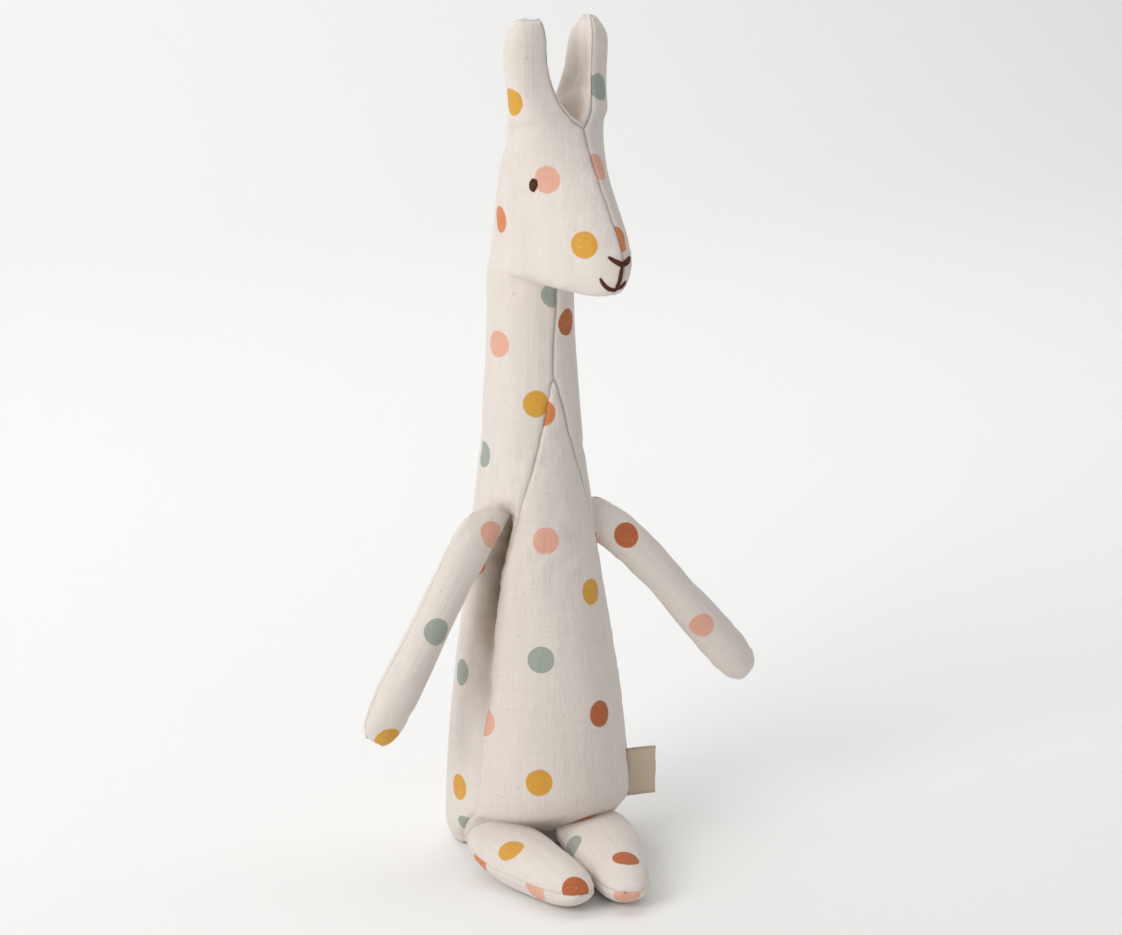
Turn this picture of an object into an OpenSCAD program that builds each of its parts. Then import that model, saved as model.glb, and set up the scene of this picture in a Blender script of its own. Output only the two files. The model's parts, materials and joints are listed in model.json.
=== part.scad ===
// Sewn and stuffed giraffe toy that sits on its seat: cloth panels over a soft filling.
// Frame: millimetres, +Z up, the face looks towards -Y, the origin is on the floor under the seat.
// Every stuffed form is a skin made of rows; a panel is a piece of that skin with the cloth's thickness.

/* [Body and neck] */
// Height of the throat, where the neck meets the chin
throat_z = 175; // [164:1:188]
// Half of the body's width where it is fullest, above the seat
seat_r = 28; // [26:0.2:30]
// Half of the neck's width under the chin
neck_r = 13; // [12:0.2:14]
// How far the neck's middle stands behind the seat's middle
neck_back = 6; // [4:0.5:8]
// Height at which the belly is fullest in front, over the legs
belly_z = 18; // [16:0.5:20]
// Turn of the body to its left between the seat and the shoulders, in degrees
body_turn = 8; // [0:1:14]

/* [Head] */
// From the middle of the neck forward to the nose
head_len = 41.6; // [38:0.4:46]
// From the throat up to the notch between the ears
head_h = 46.2; // [43:0.1:50]
// Half of the head's width at the cheeks
head_w = 12.5; // [11.5:0.1:13.5]
// Turn of the head towards its left on the neck, in degrees
head_turn = 11; // [0:1:16]

/* [Ears] */
// Height of the ears above the notch between them
ear_len = 32; // [28:0.2:36]
// How far an ear's seam stands from the middle
ear_x = 9.4; // [8.6:0.2:10.4]
// Height of the saddle between the ears above the notch
saddle_h = 12.5; // [11:0.5:13]

/* [Arms] */
// From the shoulder's hinge to the tip of the hand
arm_len = 71.5; // [64:0.5:78]
// Half of the arm's width at the hand
arm_w = 6.8; // [6.2:0.1:7.4]
// Half of the arm's thickness
arm_h = 5.8; // [5.2:0.1:6.2]
// Height of the shoulder's hinge
arm_z = 104; // [98:0.5:110]
// Angle of the right arm from straight down, in degrees
right_splay = 32.5; // [30:0.5:60]
// Angle of the left arm from straight down, in degrees
left_splay = 40.5; // [30:0.5:60]
// How much lower the left arm is sewn on
left_arm_drop = 4; // [0:0.5:5]

/* [Legs] */
// From the hip's hinge to the toe
leg_len = 46; // [42:0.2:48]
// Half of the leg's width near the hip
leg_w = 11.6; // [10.5:0.1:12]
// Half of the leg's thickness
leg_h = 7; // [6.6:0.1:7.4]
// Place of the right hip to the right of the middle
right_hip_x = 20; // [19:0.25:21]
// Place of the left hip to the left of the middle
left_hip_x = 9.75; // [9.5:0.25:12]
// Turn of both feet towards the middle, in degrees
toe_in = 11; // [4:0.5:11.5]

/* [Cloth and filling] */
// Thickness of the sewn cloth
cloth_t = 0.8; // [0.6:0.05:1]
// Room between the cloth and its filling
fill_gap = 0.45; // [0.4:0.05:0.6]
// Room between a limb and the body it is sewn to
limb_gap = 0.5; // [0.35:0.05:0.7]

/* [Stitches and label] */
// Half of an eye's height
eye_h = 2; // [1.6:0.1:2.3]
// Half of an eye's width
eye_w = 1.3; // [1:0.1:1.5]
// Half of the thickness of the thread on the face
thread_r = 0.6; // [0.45:0.05:0.7]
// How far the folded label stands out of its seam
label_w = 8.5; // [7:0.25:10]
// Height of the label
label_h = 15; // [12:0.5:17]
// Height of the label's middle
label_z = 23; // [20:0.5:28]

/* [Hidden] */
cloth = [0.89, 0.86, 0.81];
fibre = [0.96, 0.96, 0.94];
brown = [0.27, 0.16, 0.11];
ribbon = [0.83, 0.77, 0.68];
// Depth of the filling under the outside of the cloth
fill_d = cloth_t + fill_gap;
// Columns of a side panel and of the belly panel
side_n = 10;
belly_n = 10;

// A row of the skin: back point (forward, up), front point (forward, up), half-width,
// then how far the front and back points stand from the middle plane (only the ears' do).
// Rounded lower edge, from the flat seat's outline up to the fullest row
low_rows = [
    [-0.84 * seat_r, 0, 0.18 * seat_r, 0, 0.80 * seat_r, 0, 0],
    [-0.95 * seat_r, 0.12 * belly_z, 0.50 * seat_r, 0.40 * belly_z, 0.93 * seat_r, 0, 0],
    [-0.99 * seat_r, 0.42 * belly_z, 0.80 * seat_r, 0.75 * belly_z, 0.99 * seat_r, 0, 0]];
// Body and neck: share of the throat's height, share of the way from the neck's size to the seat's
trunk = [[0.1, 1], [0.168, 0.96], [0.261, 0.86], [0.349, 0.73], [0.4375, 0.58], [0.525, 0.44],
    [0.614, 0.31], [0.70, 0.185], [0.79, 0.095], [0.886, 0.02], [0.96, 0]];
function trunk_row(h, k) = let (r = neck_r + (seat_r - neck_r) * k, c = -neck_back * (1 - pow(k, 1.25)))
    [c - r, h * throat_z, c + r, h * throat_z, r, 0, 0];
// Head: back and front points, as shares of the neck's half-width, the head's length and its height
head = [[-1.04, 0.063, 0.016, 0.021, 1.05], [-1.1, 0.127, 0.294, 0.008, 1.05],
    [-1.14, 0.19, 0.588, -0.015, 1.03], [-1.155, 0.254, 0.824, -0.021, 1],
    [-1.15, 0.317, 0.948, 0.053, 0.975], [-1.11, 0.381, 1, 0.169, 0.965],
    [-1.05, 0.455, 0.954, 0.281, 0.98], [-0.96, 0.539, 0.84, 0.427, 1],
    [-0.78, 0.666, 0.64, 0.641, 1.02], [-0.5, 0.814, 0.5, 0.814, 1.1],
    [-0.154, 0.951, 0.375, 1, 1.2]];
function head_row(v) = [-neck_back + v[0] * neck_r, throat_z + v[1] * head_h,
    -neck_back + neck_r + v[2] * (head_len - neck_r), throat_z + v[3] * head_h, v[4] * head_w, 0, 0];
// Ears: as the head's rows, with heights above the notch, and the seams' places as shares of ear_x
ears = [[0.1, 0.06, 0.3, 0.13, 0.99, 0.5, 0.32], [0.34, 0.25, 0.205, 0.3, 0.79, 0.76, 0.7],
    [0.46, 0.53, 0.14, 0.53, 0.69, 0.92, 0.95], [0.52, 0.78, 0.135, 0.78, 0.65, 0.97, 1.02],
    [0.59, 0.92, 0.135, 0.92, 0.57, 1, 1.04], [0.71, 0.982, 0.1, 0.982, 0.37, 1.04, 1.06],
    [0.9, 1, 0.03, 1, 0, 1.06, 1.06]];
notch_z = throat_z + head_h;
function ear_row(v) = [-neck_back + v[0] * neck_r, notch_z + v[1] * ear_len,
    -neck_back + neck_r + v[2] * (head_len - neck_r), notch_z + v[3] * ear_len, v[4] * head_w,
    v[5] * ear_x, v[6] * ear_x];
skin_rows = concat(low_rows, [for (v = trunk) trunk_row(v[0], v[1])],
    [for (v = head) head_row(v)], [for (v = ears) ear_row(v)]);
// Places of some rows in that list
throat_row = 13;
chin_row = 14;
notch_row = 24;
tip_row = 31;
apex_row = 11.5;

// Half-angle of the belly panel, row by row from the seat
belly_angles = [74, 72, 68, 63, 61.5, 62.5, 66, 67, 58, 43, 26, 10.5, -10.5];
function belly_angle(r) = r >= apex_row ? 0 :
    let (i = floor(r)) belly_angles[i] + (belly_angles[i + 1] - belly_angles[i]) * (r - i);
// Rows at which the skin is cut into facets
skin_cuts = concat([0, 0.5, 1, 1.5, 2, 2.5, 3], [for (i = [3.5:0.5:13]) i], [for (i = [14:1:tip_row]) i]);
function cuts(a, b) = [for (r = skin_cuts) if (r >= a && r <= b) r];

// Smooth curve through the rows of a list, at a place r counted in rows
function curve(v, r) = let (n = len(v) - 1, i = max(0, min(n - 1, floor(r))), t = r - i,
        b = v[i], c = v[i + 1], a = i > 0 ? v[i - 1] : 2 * b - c, d = i < n - 1 ? v[i + 2] : 2 * c - b)
    b + t * ((c - a) / 2 + t * ((a - 2.5 * b + 2 * c - 0.5 * d) + t * (1.5 * (b - c) + (d - a) / 2)));
function unit(v) = v / max(norm(v), 0.0001);
function mix(a, b, t) = a + (b - a) * t;
// The body turns between the seat and the shoulders, and the head turns on the neck
function ease(t) = let (u = max(0, min(1, t))) u * u * (3 - 2 * u);
function turn_at(z) = body_turn * ease((z / throat_z - 0.06) / 0.62) + head_turn * ease((z / throat_z - 0.84) / 0.2);
function spun(p, q) = let (y = p[1] - neck_back)
    [p[0] * cos(q) - y * sin(q), p[0] * sin(q) + y * cos(q) + neck_back, p[2]];
function turned(p) = spun(p, turn_at(p[2]));
// A point of the skin: q is 0 in front and 180 behind, positive on the toy's right
function raw(r, q) = let (v = curve(skin_rows, r), c = (1 - cos(q)) / 2, w = q < 0 ? 1 : -1,
        stand = max(0, mix(v[5], v[6], c)))
    [w * (stand + max(0, v[4]) * abs(sin(q))), -mix(v[2], v[0], c), mix(v[3], v[1], c)];
function skin(r, q) = turned(raw(r, q));
// Direction out of the skin; at the seat it points out and down
function outward(r, q) = r <= 0 ? let (p = raw(0, q), m = raw(0, 0) + raw(0, 180), u = unit([p[0], p[1] - m[1] / 2, 0]))
        [u[0], u[1], -1] :
    let (e = 0.02, k = q < 0 ? -1 : 1, qa = abs(q), q0 = max(qa, 0.3), q1 = min(q0, 179.7),
        a = raw(min(r + e, tip_row), k * q1) - raw(max(r - e, 0), k * q1),
        b = raw(r, k * (q1 + 0.25)) - raw(r, k * (q1 - 0.25)), n = unit(k * cross(a, b)),
        f = r > notch_row ? n : (qa < 0.4 || qa > 179.6) ? unit([0, n[1], n[2]]) : n)
    r >= tip_row ? [0, 0, 1] : turned_dir(f, raw(r, q));
function turned_dir(d, p) = turned(p + d) - turned(p);
function deep(r, q, d) = skin(r, q) - d * outward(r, q);

// Closed solid between an outer and an inner grid of points with the same rows and columns;
// the first rows, counted by back, run down the skin and the others run up it
module patch(o, i, flip = false, back = 0) {
    m = len(o) - 1;
    n = len(o[0]) - 1;
    k = (m + 1) * (n + 1);
    pts = concat([for (r = o) for (p = r) p], [for (r = i) for (p = r) p]);
    function at(a, b) = a * (n + 1) + b;
    quads = concat(
        [for (b = [0:n - 1]) [at(m, b), at(m, b + 1), k + at(m, b + 1), k + at(m, b)]],
        [for (b = [0:n - 1]) [at(0, b + 1), at(0, b), k + at(0, b), k + at(0, b + 1)]],
        [for (a = [0:m - 1]) a >= back ? [at(a, 0), at(a + 1, 0), k + at(a + 1, 0), k + at(a, 0)] :
            [at(a + 1, 0), k + at(a + 1, 0), k + at(a, 0), at(a, 0)]],
        [for (a = [0:m - 1]) a >= back ? [at(a, n), k + at(a, n), k + at(a + 1, n), at(a + 1, n)] :
            [at(a + 1, n), at(a, n), k + at(a, n), k + at(a + 1, n)]],
        [for (a = [0:m - 1]) for (b = [0:n - 1])
            [k + at(a + 1, b), k + at(a + 1, b + 1), k + at(a, b + 1), k + at(a, b)]],
        [for (a = [0:m - 1]) for (b = [0:n - 1]) [at(a, b), at(a, b + 1), at(a + 1, b + 1), at(a + 1, b)]]);
    closed(pts, quads, flip);
}

// Closed solid through rings of points, with both ends closed
module loft(rings, flip = false) {
    m = len(rings) - 1;
    n = len(rings[0]);
    k = (m + 1) * n;
    function mid(r) = [for (j = [0:2]) [for (p = r) 1] * [for (p = r) p[j]] / n];
    pts = concat([for (r = rings) for (p = r) p], [mid(rings[0]), mid(rings[m])]);
    quads = concat(
        [for (a = [0:m - 1]) for (b = [0:n - 1]) let (c = (b + 1) % n)
            [a * n + b, a * n + c, (a + 1) * n + c, (a + 1) * n + b]],
        [for (b = [0:n - 1]) [(b + 1) % n, b, k, k]],
        [for (b = [0:n - 1]) [m * n + b, m * n + (b + 1) % n, k + 1, k + 1]]);
    closed(pts, quads, flip);
}

// Triangles of a list of quads, without those that have shrunk to nothing
module closed(pts, quads, flip) {
    function real(t) = norm(pts[t[0]] - pts[t[1]]) > 0.0005 && norm(pts[t[1]] - pts[t[2]]) > 0.0005
        && norm(pts[t[2]] - pts[t[0]]) > 0.0005;
    tris = [for (q = quads) for (t = [[q[0], q[1], q[2]], [q[0], q[2], q[3]]]) if (real(t)) t];
    polyhedron(pts, flip ? [for (t = tris) [t[2], t[1], t[0]]] : tris, convexity = 6);
}

// Side of the body, neck, head and ear in one cut; k is 1 for the right and -1 for the left
function side_q(r, j, k) = k * max(0.0001, mix(belly_angle(r), 180, j / side_n));
module side_panel(k) {
    rs = cuts(0, tip_row);
    patch([for (r = rs) [for (j = [0:side_n]) skin(r, side_q(r, j, k))]],
        [for (r = rs) [for (j = [0:side_n]) deep(r, side_q(r, j, k), cloth_t)]], k < 0);
}
module right_side_panel() {
    color(cloth) side_panel(1);
}
module left_side_panel() {
    color(cloth) side_panel(-1);
}

// Pointed front panel: its tip is high on the neck and its foot is over the legs
module belly_panel() {
    rs = cuts(0, apex_row);
    color(cloth) patch([for (r = rs) [for (j = [0:belly_n]) skin(r, mix(1, -1, j / belly_n) * belly_angle(r))]],
        [for (r = rs) [for (j = [0:belly_n]) deep(r, mix(1, -1, j / belly_n) * belly_angle(r), cloth_t)]], true);
}

// Lining of both ears in one cut, with the saddle between them
// Row by row: share of the saddle's rise, swell towards the middle, and how much its inside sinks and draws in
lining = [[1, 0, 1, 0], [0.79, 0.5, 0.9, 0.44], [0.46, 1.2, 0.7, 0.7], [0.13, 1.4, 0.4, 0.92], [0, 1.3, 0.1, 1],
    [0, 1, 0.5, 0.8], [0, 0.5, 0.85, 0.4], [0, 0, 1, 0]];
function lining_at(i, s, k, d) = let (r = notch_row + i, v = lining[i], w = sin(180 * s),
        f = deep(r, k * 0.0001, d), b = deep(r, k * 180, d), c = mix(f, b, s),
        sink = i == len(lining) - 1 ? 0 : d * v[2] * pow(w, 0.5), x = v[1] * w - d * v[3] * pow(w, 0.5))
    c + turned_dir([k * x, 0, saddle_h * v[0] * w - sink], c);
lining_n = 10;
module crown_gusset() {
    is = [7, 6, 5, 4, 3, 2, 1, 0, -1, -2, -3, -4, -5, -6, -7];
    color(cloth) patch(
        [for (i = is) [for (j = [0:lining_n]) lining_at(abs(i), j / lining_n, i >= 0 ? 1 : -1, 0)]],
        [for (i = is) [for (j = [0:lining_n]) lining_at(abs(i), j / lining_n, i >= 0 ? 1 : -1, cloth_t)]], false, 7);
}

// Flat base that the toy rests on
function around(r) = let (g = max(20, belly_angle(r))) concat([for (j = [0:belly_n - 1]) mix(-1, 1, j / belly_n) * g],
    [for (j = [0:side_n - 1]) mix(g, 180, j / side_n)], [for (j = [0:side_n - 1]) -mix(180, g, j / side_n)]);
module seat_panel() {
    color(cloth) loft([for (d = [0, cloth_t]) [for (q = around(0)) deep(0, q, d)]], false);
}

// Fibre filling of the body and neck, and of the head up to the saddle
module body_filling() {
    color(fibre) loft([for (r = cuts(0, throat_row - 0.5)) [for (q = around(r)) deep(r, q, fill_d)]], false);
}
dome = [[0.277, 0.075, 0.19, 0.1, 0.86], [0.6, 0.19, 0.09, 0.2, 0.5]];
module head_filling() {
    rings = [for (r = cuts(throat_row, notch_row)) [for (q = around(r)) deep(r, q, fill_d)]];
    caps = [for (v = dome) let (w = [-neck_back + v[0] * neck_r, notch_z + v[1] * ear_len,
            -neck_back + neck_r + v[2] * (head_len - neck_r), notch_z + v[3] * ear_len, v[4] * head_w])
        [for (q = around(notch_row)) let (c = (1 - cos(q)) / 2)
            turned([-w[4] * sin(q), -mix(w[2], w[0], c), mix(w[3], w[1], c)])]];
    color(fibre) loft(concat(rings, caps), false);
}
// Filling of one ear
module ear_filling(k) {
    rings = [for (i = [2, 3, 4, 5]) let (r = notch_row + i,
            p = concat([for (j = [0:side_n]) skin(r, k * (0.0001 + 180 * j / side_n))],
                [for (j = [1:side_n - 1]) lining_at(i, 1 - j / side_n, k, 0)]),
            n = len(p), m = [for (j = [0:2]) [for (x = p) 1] * [for (x = p) x[j]] / n],
            s = 1 - 1.35 * fill_d / min(6, (curve(skin_rows, r)[4] + lining[i][1]) / 2 + 0.6))
        [for (x = p) m + s * (x - m) - [0, 0, i == 5 ? fill_d : 0]]];
    color(fibre) loft(rings, k < 0);
}
module right_ear_filling() {
    ear_filling(1);
}
module left_ear_filling() {
    ear_filling(-1);
}

// Satin stitch: a low dome that follows the skin around one place on it
stitch_lift = 0.15;
module eye(k) {
    r0 = chin_row + 8;
    q0 = 76.5;
    b = norm(skin(r0 + 0.5, q0) - skin(r0 - 0.5, q0));
    a = norm(skin(r0, q0 + 5) - skin(r0, q0 - 5)) / 10;
    n = 16;
    function place(c, j) = let (t = 360 * j / n) [r0 + c * eye_h / b * sin(t), k * (q0 + c * eye_w / a * cos(t))];
    rings = concat([for (c = [0.5, 1]) [for (j = [0:n - 1]) let (s = place(c, j)) deep(s[0], s[1], -stitch_lift)]],
        [for (c = [0.95, 0.75, 0.4]) [for (j = [0:n - 1]) let (s = place(c, j))
            deep(s[0], s[1], -stitch_lift - 0.2 - 0.7 * (1 - c * c))]]);
    color(brown) loft(rings, k < 0);
}
module right_eye() {
    eye(1);
}
module left_eye() {
    eye(-1);
}
// Thread laid along places on the skin, given as row and angle
module thread(way) {
    n = 8;
    p = [for (s = way) deep(s[0], s[1], -thread_r - stitch_lift)];
    m = len(p) - 1;
    rings = [for (i = [0:m]) let (t = unit(p[min(m, i + 1)] - p[max(0, i - 1)]), o = unit(outward(way[i][0], way[i][1])),
            w = unit(cross(t, o)), v = cross(w, t), c = (i == 0 || i == m) ? 0.5 : 1)
        [for (j = [0:n - 1]) p[i] + c * thread_r * (cos(360 * j / n) * w + sin(360 * j / n) * v)]];
    color(brown) loft(rings, false);
}
nose_row = chin_row + 5.15;
module nose_stitch() {
    thread([for (q = [-18, -14, -9, -4, 0, 4, 9, 14, 18]) [nose_row + 0.42 * abs(q) / 18, q]]);
}
module lip_stitch() {
    thread([for (r = [4.93, 4.7, 4.45, 4.2]) [chin_row + r, 0]]);
}
module mouth_stitch() {
    thread([for (q = [-27, -21, -15, -8, 0, 8, 15, 21, 27]) [chin_row + 3.72 + 0.6 * pow(q / 27, 2), q]]);
}

// Limb: rows of spine point, half-width and half-thickness; h is the direction of the thickness
function limb_dir(rows, r) = unit([for (j = [0:2]) curve(rows, min(len(rows) - 1, r + 0.05))[j] - curve(rows, max(0, r - 0.05))[j]]);
function limb(rows, h, r, q, d) = let (v = curve(rows, r), m = len(rows) - 1, t = limb_dir(rows, r), w = unit(cross(t, h)),
        u = unit(cross(w, t)), x = max(0, v[3]), y = max(0, v[4]), c = [v[0], v[1], v[2]],
        p = c + x * cos(q) * w + y * sin(q) * u)
    d == 0 ? p : r <= 0 ? p + d * t : r >= m ? p - d * t :
    let (xi = max(0.2, x - d), yi = max(0.15, y - d)) c + xi * cos(q) * w + yi * sin(q) * u;
limb_n = 8;
function limb_cuts(rows) = [for (i = [0:len(rows) - 1]) i];
module limb_panel(rows, h, q0, flip) {
    rs = limb_cuts(rows);
    patch([for (r = rs) [for (j = [0:limb_n]) limb(rows, h, r, q0 + 180 * j / limb_n, 0)]],
        [for (r = rs) [for (j = [0:limb_n]) limb(rows, h, r, q0 + 180 * j / limb_n, cloth_t)]], flip);
}
module limb_filling(rows, h, flip) {
    m = len(rows) - 1;
    loft([for (r = concat([1.3], [for (i = [2:m - 1]) i])) [for (j = [0:2 * limb_n - 1]) limb(rows, h, r, 180 * j / limb_n, fill_d)]], flip);
}

// Arm: share of its length from the hinge, half-width and half-thickness as shares of the hand's
shoulder_r = 0.86 * arm_w;
arm_form = [[-0.97, 0.24, 0], [-0.82, 0.6, 0.16], [-0.48, 0.88, 0.3], [0, 1, 0.5]];
arm_run = [[0.11, 0.86, 0.8], [0.27, 0.86, 0.93], [0.48, 0.9, 0.97], [0.7, 0.985, 1], [0.83, 1, 0.95],
    [0.925, 0.9, 0.74], [0.98, 0.66, 0.42], [1, 0.43, 0]];
arm_q = 62;
function arm_height(k) = k > 0 ? arm_z : arm_z - left_arm_drop;
function arm_row(k) = 3 + (arm_height(k) / throat_z - 0.1) / 0.0822;
function arm_flat(k) = let (q = turn_at(arm_height(k))) [sin(q), -cos(q), 0];
// The hinge stands as far out as the shoulder's rounded end needs to clear the body's side
shoulder_room = [for (k = [1, -1]) let (c = raw(arm_row(k), k * arm_q))
    max([for (r = [-1.5:0.25:1.5]) for (q = [20:4:140])
        let (p = raw(arm_row(k) + r, k * q), e = (p[1] - c[1]) / (0.6 * arm_h), z = p[2] - arm_height(k),
            h = shoulder_r * sqrt(max(0, 1 - e * e)) + limb_gap)
        abs(e) < 1 && abs(z) < h ? sqrt(h * h - z * z) - k * p[0] : 0])];
function arm_point(k, u) = let (p = raw(arm_row(k), k * arm_q), q = k > 0 ? right_splay : left_splay,
        d = [-k * sin(q), -0.07, -cos(q)], h = [-k * shoulder_room[k > 0 ? 0 : 1], p[1], arm_height(k)])
    spun(h + u * d, turn_at(arm_height(k)));
function arm_rows(k) =
    concat([for (v = arm_form) let (p = arm_point(k, v[0] * shoulder_r))
            [p[0], p[1], p[2], v[1] * shoulder_r, v[2] * arm_h]],
        [for (v = arm_run) let (p = arm_point(k, v[0] * arm_len)) [p[0], p[1], p[2], v[1] * arm_w, v[2] * arm_h]]);
module right_arm_front() {
    color(cloth) limb_panel(arm_rows(1), arm_flat(1), 0, false);
}
module right_arm_back() {
    color(cloth) limb_panel(arm_rows(1), arm_flat(1), 180, false);
}
module right_arm_filling() {
    color(fibre) limb_filling(arm_rows(1), arm_flat(1), false);
}
module left_arm_front() {
    color(cloth) limb_panel(arm_rows(-1), arm_flat(-1), 0, false);
}
module left_arm_back() {
    color(cloth) limb_panel(arm_rows(-1), arm_flat(-1), 180, false);
}
module left_arm_filling() {
    color(fibre) limb_filling(arm_rows(-1), arm_flat(-1), false);
}

// Leg: rounded hip about its hinge, then shares of its length, width and thickness
hip_r = 0.75 * leg_h;
leg_form = [[-0.97, 0.24, 0], [-0.84, 0.52, 0.4], [-0.48, 0.85, 0.655], [0, 0.97, 0.75]];
leg_run = [[0.2, 1, 0.97], [0.43, 0.94, 1], [0.66, 0.79, 0.97], [0.815, 0.655, 0.86], [0.92, 0.49, 0.6],
    [0.98, 0.31, 0.26], [1, 0.14, 0]];
// The hinge lies as far forward as its rounded end needs to clear the belly
function hip_x(k) = k > 0 ? -right_hip_x : left_hip_x;
hip_room = [for (k = [1, -1]) max([for (r = [0:0.25:4]) for (q = [-84:4:84])
    let (p = skin(r, q), e = (p[0] - hip_x(k)) / leg_w, h = hip_r * sqrt(max(0, 1 - e * e)) + limb_gap, z = p[2] - leg_h)
    abs(e) < 1 && abs(z) < h ? sqrt(h * h - z * z) - p[1] : 0])];
function leg_f(k) = hip_room[k > 0 ? 0 : 1];
function leg_rows(k) = let (x = hip_x(k), y = -leg_f(k))
    concat([for (v = leg_form) [x, y - v[0] * hip_r, leg_h, v[1] * leg_w, v[2] * leg_h]],
        [for (v = leg_run) let (g = v[0] * leg_len, s = k * tan(toe_in) * max(0, g - 3))
            [x + s, y - g, leg_h, v[1] * leg_w, v[2] * leg_h]]);
module right_leg_top() {
    color(cloth) limb_panel(leg_rows(1), [0, 0, 1], 0, false);
}
module right_leg_sole() {
    color(cloth) limb_panel(leg_rows(1), [0, 0, 1], 180, false);
}
module right_leg_filling() {
    color(fibre) limb_filling(leg_rows(1), [0, 0, 1], false);
}
module left_leg_top() {
    color(cloth) limb_panel(leg_rows(-1), [0, 0, 1], 0, false);
}
module left_leg_sole() {
    color(cloth) limb_panel(leg_rows(-1), [0, 0, 1], 180, false);
}
module left_leg_filling() {
    color(fibre) limb_filling(leg_rows(-1), [0, 0, 1], false);
}

// Ribbon folded in two, its ends in the left seam of the belly panel
label_t = 0.35;
label_row = 3 + (label_z / throat_z - 0.1) / 0.068;
label_seam = skin(label_row, -belly_angle(label_row));
module side_label() {
    color(ribbon) translate([label_seam[0] + limb_gap + 0.3, label_seam[1], label_z - label_h / 2])
        linear_extrude(label_h) difference() {
            union() {
                translate([0, -1.5 * label_t]) square([label_w - 1.5 * label_t, 3 * label_t]);
                translate([label_w - 1.5 * label_t, 0]) circle(1.5 * label_t, $fn = 24);
            }
            translate([-1, -0.5 * label_t]) square([label_w + 1 - 1.5 * label_t, label_t]);
            translate([label_w - 1.5 * label_t, 0]) circle(0.5 * label_t, $fn = 24);
        }
}

right_side_panel();
left_side_panel();
belly_panel();
crown_gusset();
seat_panel();
body_filling();
head_filling();
right_ear_filling();
left_ear_filling();
right_eye();
left_eye();
nose_stitch();
lip_stitch();
mouth_stitch();
right_arm_front();
right_arm_back();
right_arm_filling();
left_arm_front();
left_arm_back();
left_arm_filling();
right_leg_top();
right_leg_sole();
right_leg_filling();
left_leg_top();
left_leg_sole();
left_leg_filling();
side_label();
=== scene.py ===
# %% [markdown]
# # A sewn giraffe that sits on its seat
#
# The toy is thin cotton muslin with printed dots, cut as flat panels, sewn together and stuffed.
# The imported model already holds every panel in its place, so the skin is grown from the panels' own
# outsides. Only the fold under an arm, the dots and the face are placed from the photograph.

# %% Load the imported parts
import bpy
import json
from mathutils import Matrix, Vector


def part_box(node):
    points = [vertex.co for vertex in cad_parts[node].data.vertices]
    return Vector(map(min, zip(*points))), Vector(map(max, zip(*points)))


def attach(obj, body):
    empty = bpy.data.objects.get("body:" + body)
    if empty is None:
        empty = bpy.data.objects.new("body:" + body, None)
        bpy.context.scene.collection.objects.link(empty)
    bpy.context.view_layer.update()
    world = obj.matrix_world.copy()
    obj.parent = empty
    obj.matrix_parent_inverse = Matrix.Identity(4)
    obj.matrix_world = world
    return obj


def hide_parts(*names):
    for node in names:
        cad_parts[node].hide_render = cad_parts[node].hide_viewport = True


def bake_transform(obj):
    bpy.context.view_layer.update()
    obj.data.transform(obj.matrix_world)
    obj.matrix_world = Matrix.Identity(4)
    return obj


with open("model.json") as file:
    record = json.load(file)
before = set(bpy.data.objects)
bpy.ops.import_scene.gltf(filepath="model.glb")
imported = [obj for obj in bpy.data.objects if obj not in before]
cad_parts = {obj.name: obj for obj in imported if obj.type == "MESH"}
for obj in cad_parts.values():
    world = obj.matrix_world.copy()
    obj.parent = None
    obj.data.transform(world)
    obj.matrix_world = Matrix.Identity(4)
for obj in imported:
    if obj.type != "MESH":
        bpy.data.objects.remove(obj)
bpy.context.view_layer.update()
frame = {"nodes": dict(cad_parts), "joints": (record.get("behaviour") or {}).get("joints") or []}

# %% Names used in every cell
import json
import math
import bmesh
import bpy
import numpy as np
from mathutils import Vector, noise
from mathutils.bvhtree import BVHTree
from mathutils.kdtree import KDTree

MM = 0.001
scene = bpy.context.scene


def put(obj):
    """Links a new object to the scene."""
    scene.collection.objects.link(obj)
    return obj


# %% [markdown]
# ## Camera
#
# The photograph was taken from a little above and from the toy's right, with a long lens.
# The camera looks at a point in the middle of the toy, and a small shift of the lens puts
# that point where the photograph has it.

# %% Camera at the photograph's angle
turn = math.radians(-22)
rise = math.radians(13)
distance = 900 * MM
middle = Vector((0, 0, 120 * MM))
towards_camera = Vector((math.sin(turn) * math.cos(rise), -math.cos(turn) * math.cos(rise), math.sin(rise)))
lens = bpy.data.cameras.new("photo_angle")
lens.lens = 96.3
lens.shift_x = 0.0205
lens.shift_y = -0.0058
camera = put(bpy.data.objects.new("photo_angle", lens))
camera.location = middle + distance * towards_camera
camera.rotation_mode = "QUATERNION"
camera.rotation_quaternion = (-towards_camera).to_track_quat("-Z", "Y")
scene.camera = camera
print("camera at", [round(x, 3) for x in camera.location])

# %% [markdown]
# ## Floor and light
#
# A pale sheet lies under the toy and sweeps up behind it, so no horizon shows from the front. One large
# soft lamp stands in front and to the left of the picture, because that is the toy's bright side. A
# second lamp brightens the sweep behind the toy, and a pale room fills the shadows.

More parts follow.
